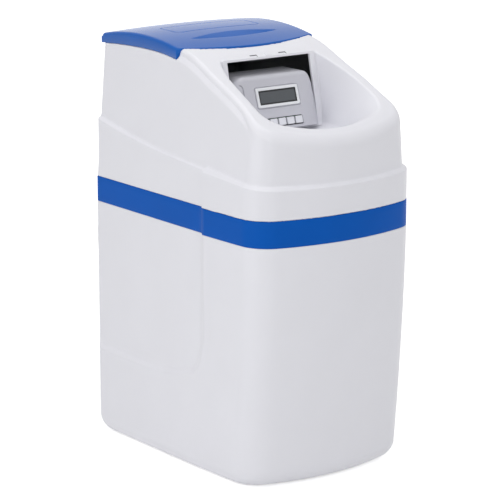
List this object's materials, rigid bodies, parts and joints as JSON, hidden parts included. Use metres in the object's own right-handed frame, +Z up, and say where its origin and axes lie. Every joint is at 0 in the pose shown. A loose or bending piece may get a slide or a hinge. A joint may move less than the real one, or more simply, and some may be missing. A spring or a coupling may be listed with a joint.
{
  "type": "cabinet water softener",
  "caption": "Compact cabinet water softener with a brine tank, resin vessel, control valve behind a recessed window, bypass and hinged salt lid.",
  "frame": {"origin": "on the underside of the cabinet, midway across its width and its depth", "axes": "+X to the right seen from the front, -Y towards the front, +Z up"},
  "size_m": [0.318, 0.5085, 0.68],
  "materials": {
    "cabinet_white": "moulded polyethylene, satin, fine grain",
    "trim_blue": "moulded, semi-gloss",
    "lid_blue": "moulded, semi-gloss with fine grain",
    "bezel_white": "moulded, satin",
    "head_grey": "moulded, fine texture",
    "display_frame": "moulded, semi-gloss",
    "display_window": "clear window over a grey display",
    "button_grey": "moulded, satin",
    "keypad_rubber": "silicone mat",
    "board_green": "solder mask",
    "steel": "bright steel",
    "valve_black": "glass-filled polymer, matte",
    "gear_natural": "natural acetal",
    "seal_black": "moulded rubber",
    "piston_coated": "low-friction coating",
    "pinion_brass": "turned",
    "tail_brass": "turned, satin",
    "motor_metal": "zinc-plated can",
    "vessel_wound": "fibre-wound bottle, satin",
    "boot_black": "moulded foot",
    "tube_white": "extruded tube",
    "resin_amber": "settled bead bed",
    "handle_red": "moulded, semi-gloss",
    "turbine_blue": "moulded",
    "float_grey": "moulded",
    "well_white": "extruded, satin"
  },
  "bodies": {
    "cabinet": {"brine_tank": "cabinet_white", "trim_band": "trim_blue", "shroud": "cabinet_white", "shroud_rear_left": "cabinet_white", "shroud_rear_right": "cabinet_white", "window_bezel": "bezel_white", "lid_hinge_pins": "steel", "resin_tank": "vessel_wound", "tank_base": "boot_black", "riser_tube": "tube_white", "bottom_basket": "tube_white", "top_basket": "tube_white", "resin_bed": "resin_amber", "tank_o_ring": "seal_black", "valve_body": "valve_black", "seal_spacers": "gear_natural", "piston_seals": "seal_black", "end_plug": "valve_black", "drive_bracket": "valve_black", "drive_motor": "motor_metal", "head_cover": "head_grey", "display_bezel": "display_frame", "display_lens": "display_window", "circuit_board": "board_green", "keypad": "keypad_rubber", "board_screws": "steel", "power_socket": "valve_black", "injector": "gear_natural", "injector_cap": "valve_black", "drain_elbow": "valve_black", "turbine_cage": "tube_white", "bypass_body": "valve_black", "bypass_o_rings": "seal_black", "bypass_nuts": "valve_black", "connector_nuts": "valve_black", "tail_pieces": "tail_brass", "brine_well": "well_white", "brine_well_cap": "well_white", "float_valve": "float_grey", "air_check": "tube_white", "brine_elbow": "valve_black", "brine_line": "tube_white", "overflow_elbow": "cabinet_white", "overflow_nut": "tube_white", "salt_grid": "tube_white"},
    "lid": {"salt_lid": "lid_blue"},
    "inlet_handle": {"bypass_handle_inlet": "handle_red"},
    "outlet_handle": {"bypass_handle_outlet": "handle_red"},
    "main_gear_body": {"main_gear": "gear_natural"},
    "reduction_gear_body": {"reduction_gear": "gear_natural"},
    "pinion_body": {"motor_pinion": "pinion_brass"},
    "piston_body": {"piston": "piston_coated", "piston_rod": "steel"},
    "turbine_body": {"meter_turbine": "turbine_blue"},
    "float_body": {"float_rod": "tube_white"},
    "button_1_body": {"button_1": "button_grey"},
    "button_2_body": {"button_2": "button_grey"},
    "button_3_body": {"button_3": "button_grey"},
    "button_4_body": {"button_4": "button_grey"},
    "button_5_body": {"button_5": "button_grey"}
  },
  "joints": [
    {"name": "lid_hinge", "type": "hinge", "parent": "cabinet", "child": "lid", "pos_m": [0, 0.2445, 0.65055], "axis": [-1, 0, 0], "range_deg": [0, 100]},
    {"name": "button_1_press", "type": "slide", "parent": "cabinet", "child": "button_1_body", "axis": [0, 0.9483, -0.3173], "range_m": [0, 0.001], "stiffness_N_per_m": 600},
    {"name": "button_2_press", "type": "slide", "parent": "cabinet", "child": "button_2_body", "axis": [0, 0.9483, -0.3173], "range_m": [0, 0.001], "stiffness_N_per_m": 600},
    {"name": "button_3_press", "type": "slide", "parent": "cabinet", "child": "button_3_body", "axis": [0, 0.9483, -0.3173], "range_m": [0, 0.001], "stiffness_N_per_m": 600},
    {"name": "button_4_press", "type": "slide", "parent": "cabinet", "child": "button_4_body", "axis": [0, 0.9483, -0.3173], "range_m": [0, 0.001], "stiffness_N_per_m": 600},
    {"name": "button_5_press", "type": "slide", "parent": "cabinet", "child": "button_5_body", "axis": [0, 0.9483, -0.3173], "range_m": [0, 0.001], "stiffness_N_per_m": 600},
    {"name": "inlet_handle_turn", "type": "hinge", "parent": "cabinet", "child": "inlet_handle", "pos_m": [-0.042, 0.1503, 0.515], "axis": [0, 0, 1], "range_deg": [0, 90]},
    {"name": "outlet_handle_turn", "type": "hinge", "parent": "cabinet", "child": "outlet_handle", "pos_m": [0.042, 0.1503, 0.515], "axis": [0, 0, 1], "range_deg": [0, 90]},
    {"name": "main_gear_turn", "type": "hinge", "parent": "cabinet", "child": "main_gear_body", "pos_m": [0, -0.0183, 0.515], "axis": [0, 1, 0], "range_deg": [0, 340]},
    {"name": "reduction_gear_turn", "type": "hinge", "parent": "cabinet", "child": "reduction_gear_body", "pos_m": [0, -0.0183, 0.545], "axis": [0, 1, 0], "continuous": true},
    {"name": "motor_pinion_turn", "type": "hinge", "parent": "cabinet", "child": "pinion_body", "pos_m": [0.01626, -0.0183, 0.56126], "axis": [0, 1, 0], "continuous": true},
    {"name": "piston_slide", "type": "slide", "parent": "cabinet", "child": "piston_body", "axis": [0, -1, 0], "range_m": [0, 0.02]},
    {"name": "meter_turbine_spin", "type": "hinge", "parent": "cabinet", "child": "turbine_body", "pos_m": [0.042, 0.084, 0.515], "axis": [0, 1, 0], "continuous": true},
    {"name": "float_rise", "type": "slide", "parent": "cabinet", "child": "float_body", "axis": [0, 0, 1], "range_m": [0, 0.025]}
  ],
  "couplings": [
    {"joint": "reduction_gear_turn", "follows": "main_gear_turn", "ratio": -4},
    {"joint": "motor_pinion_turn", "follows": "main_gear_turn", "ratio": 14.4},
    {"joint": "piston_slide", "follows": "main_gear_turn", "m_per_rad": 0.00337}
  ]
}
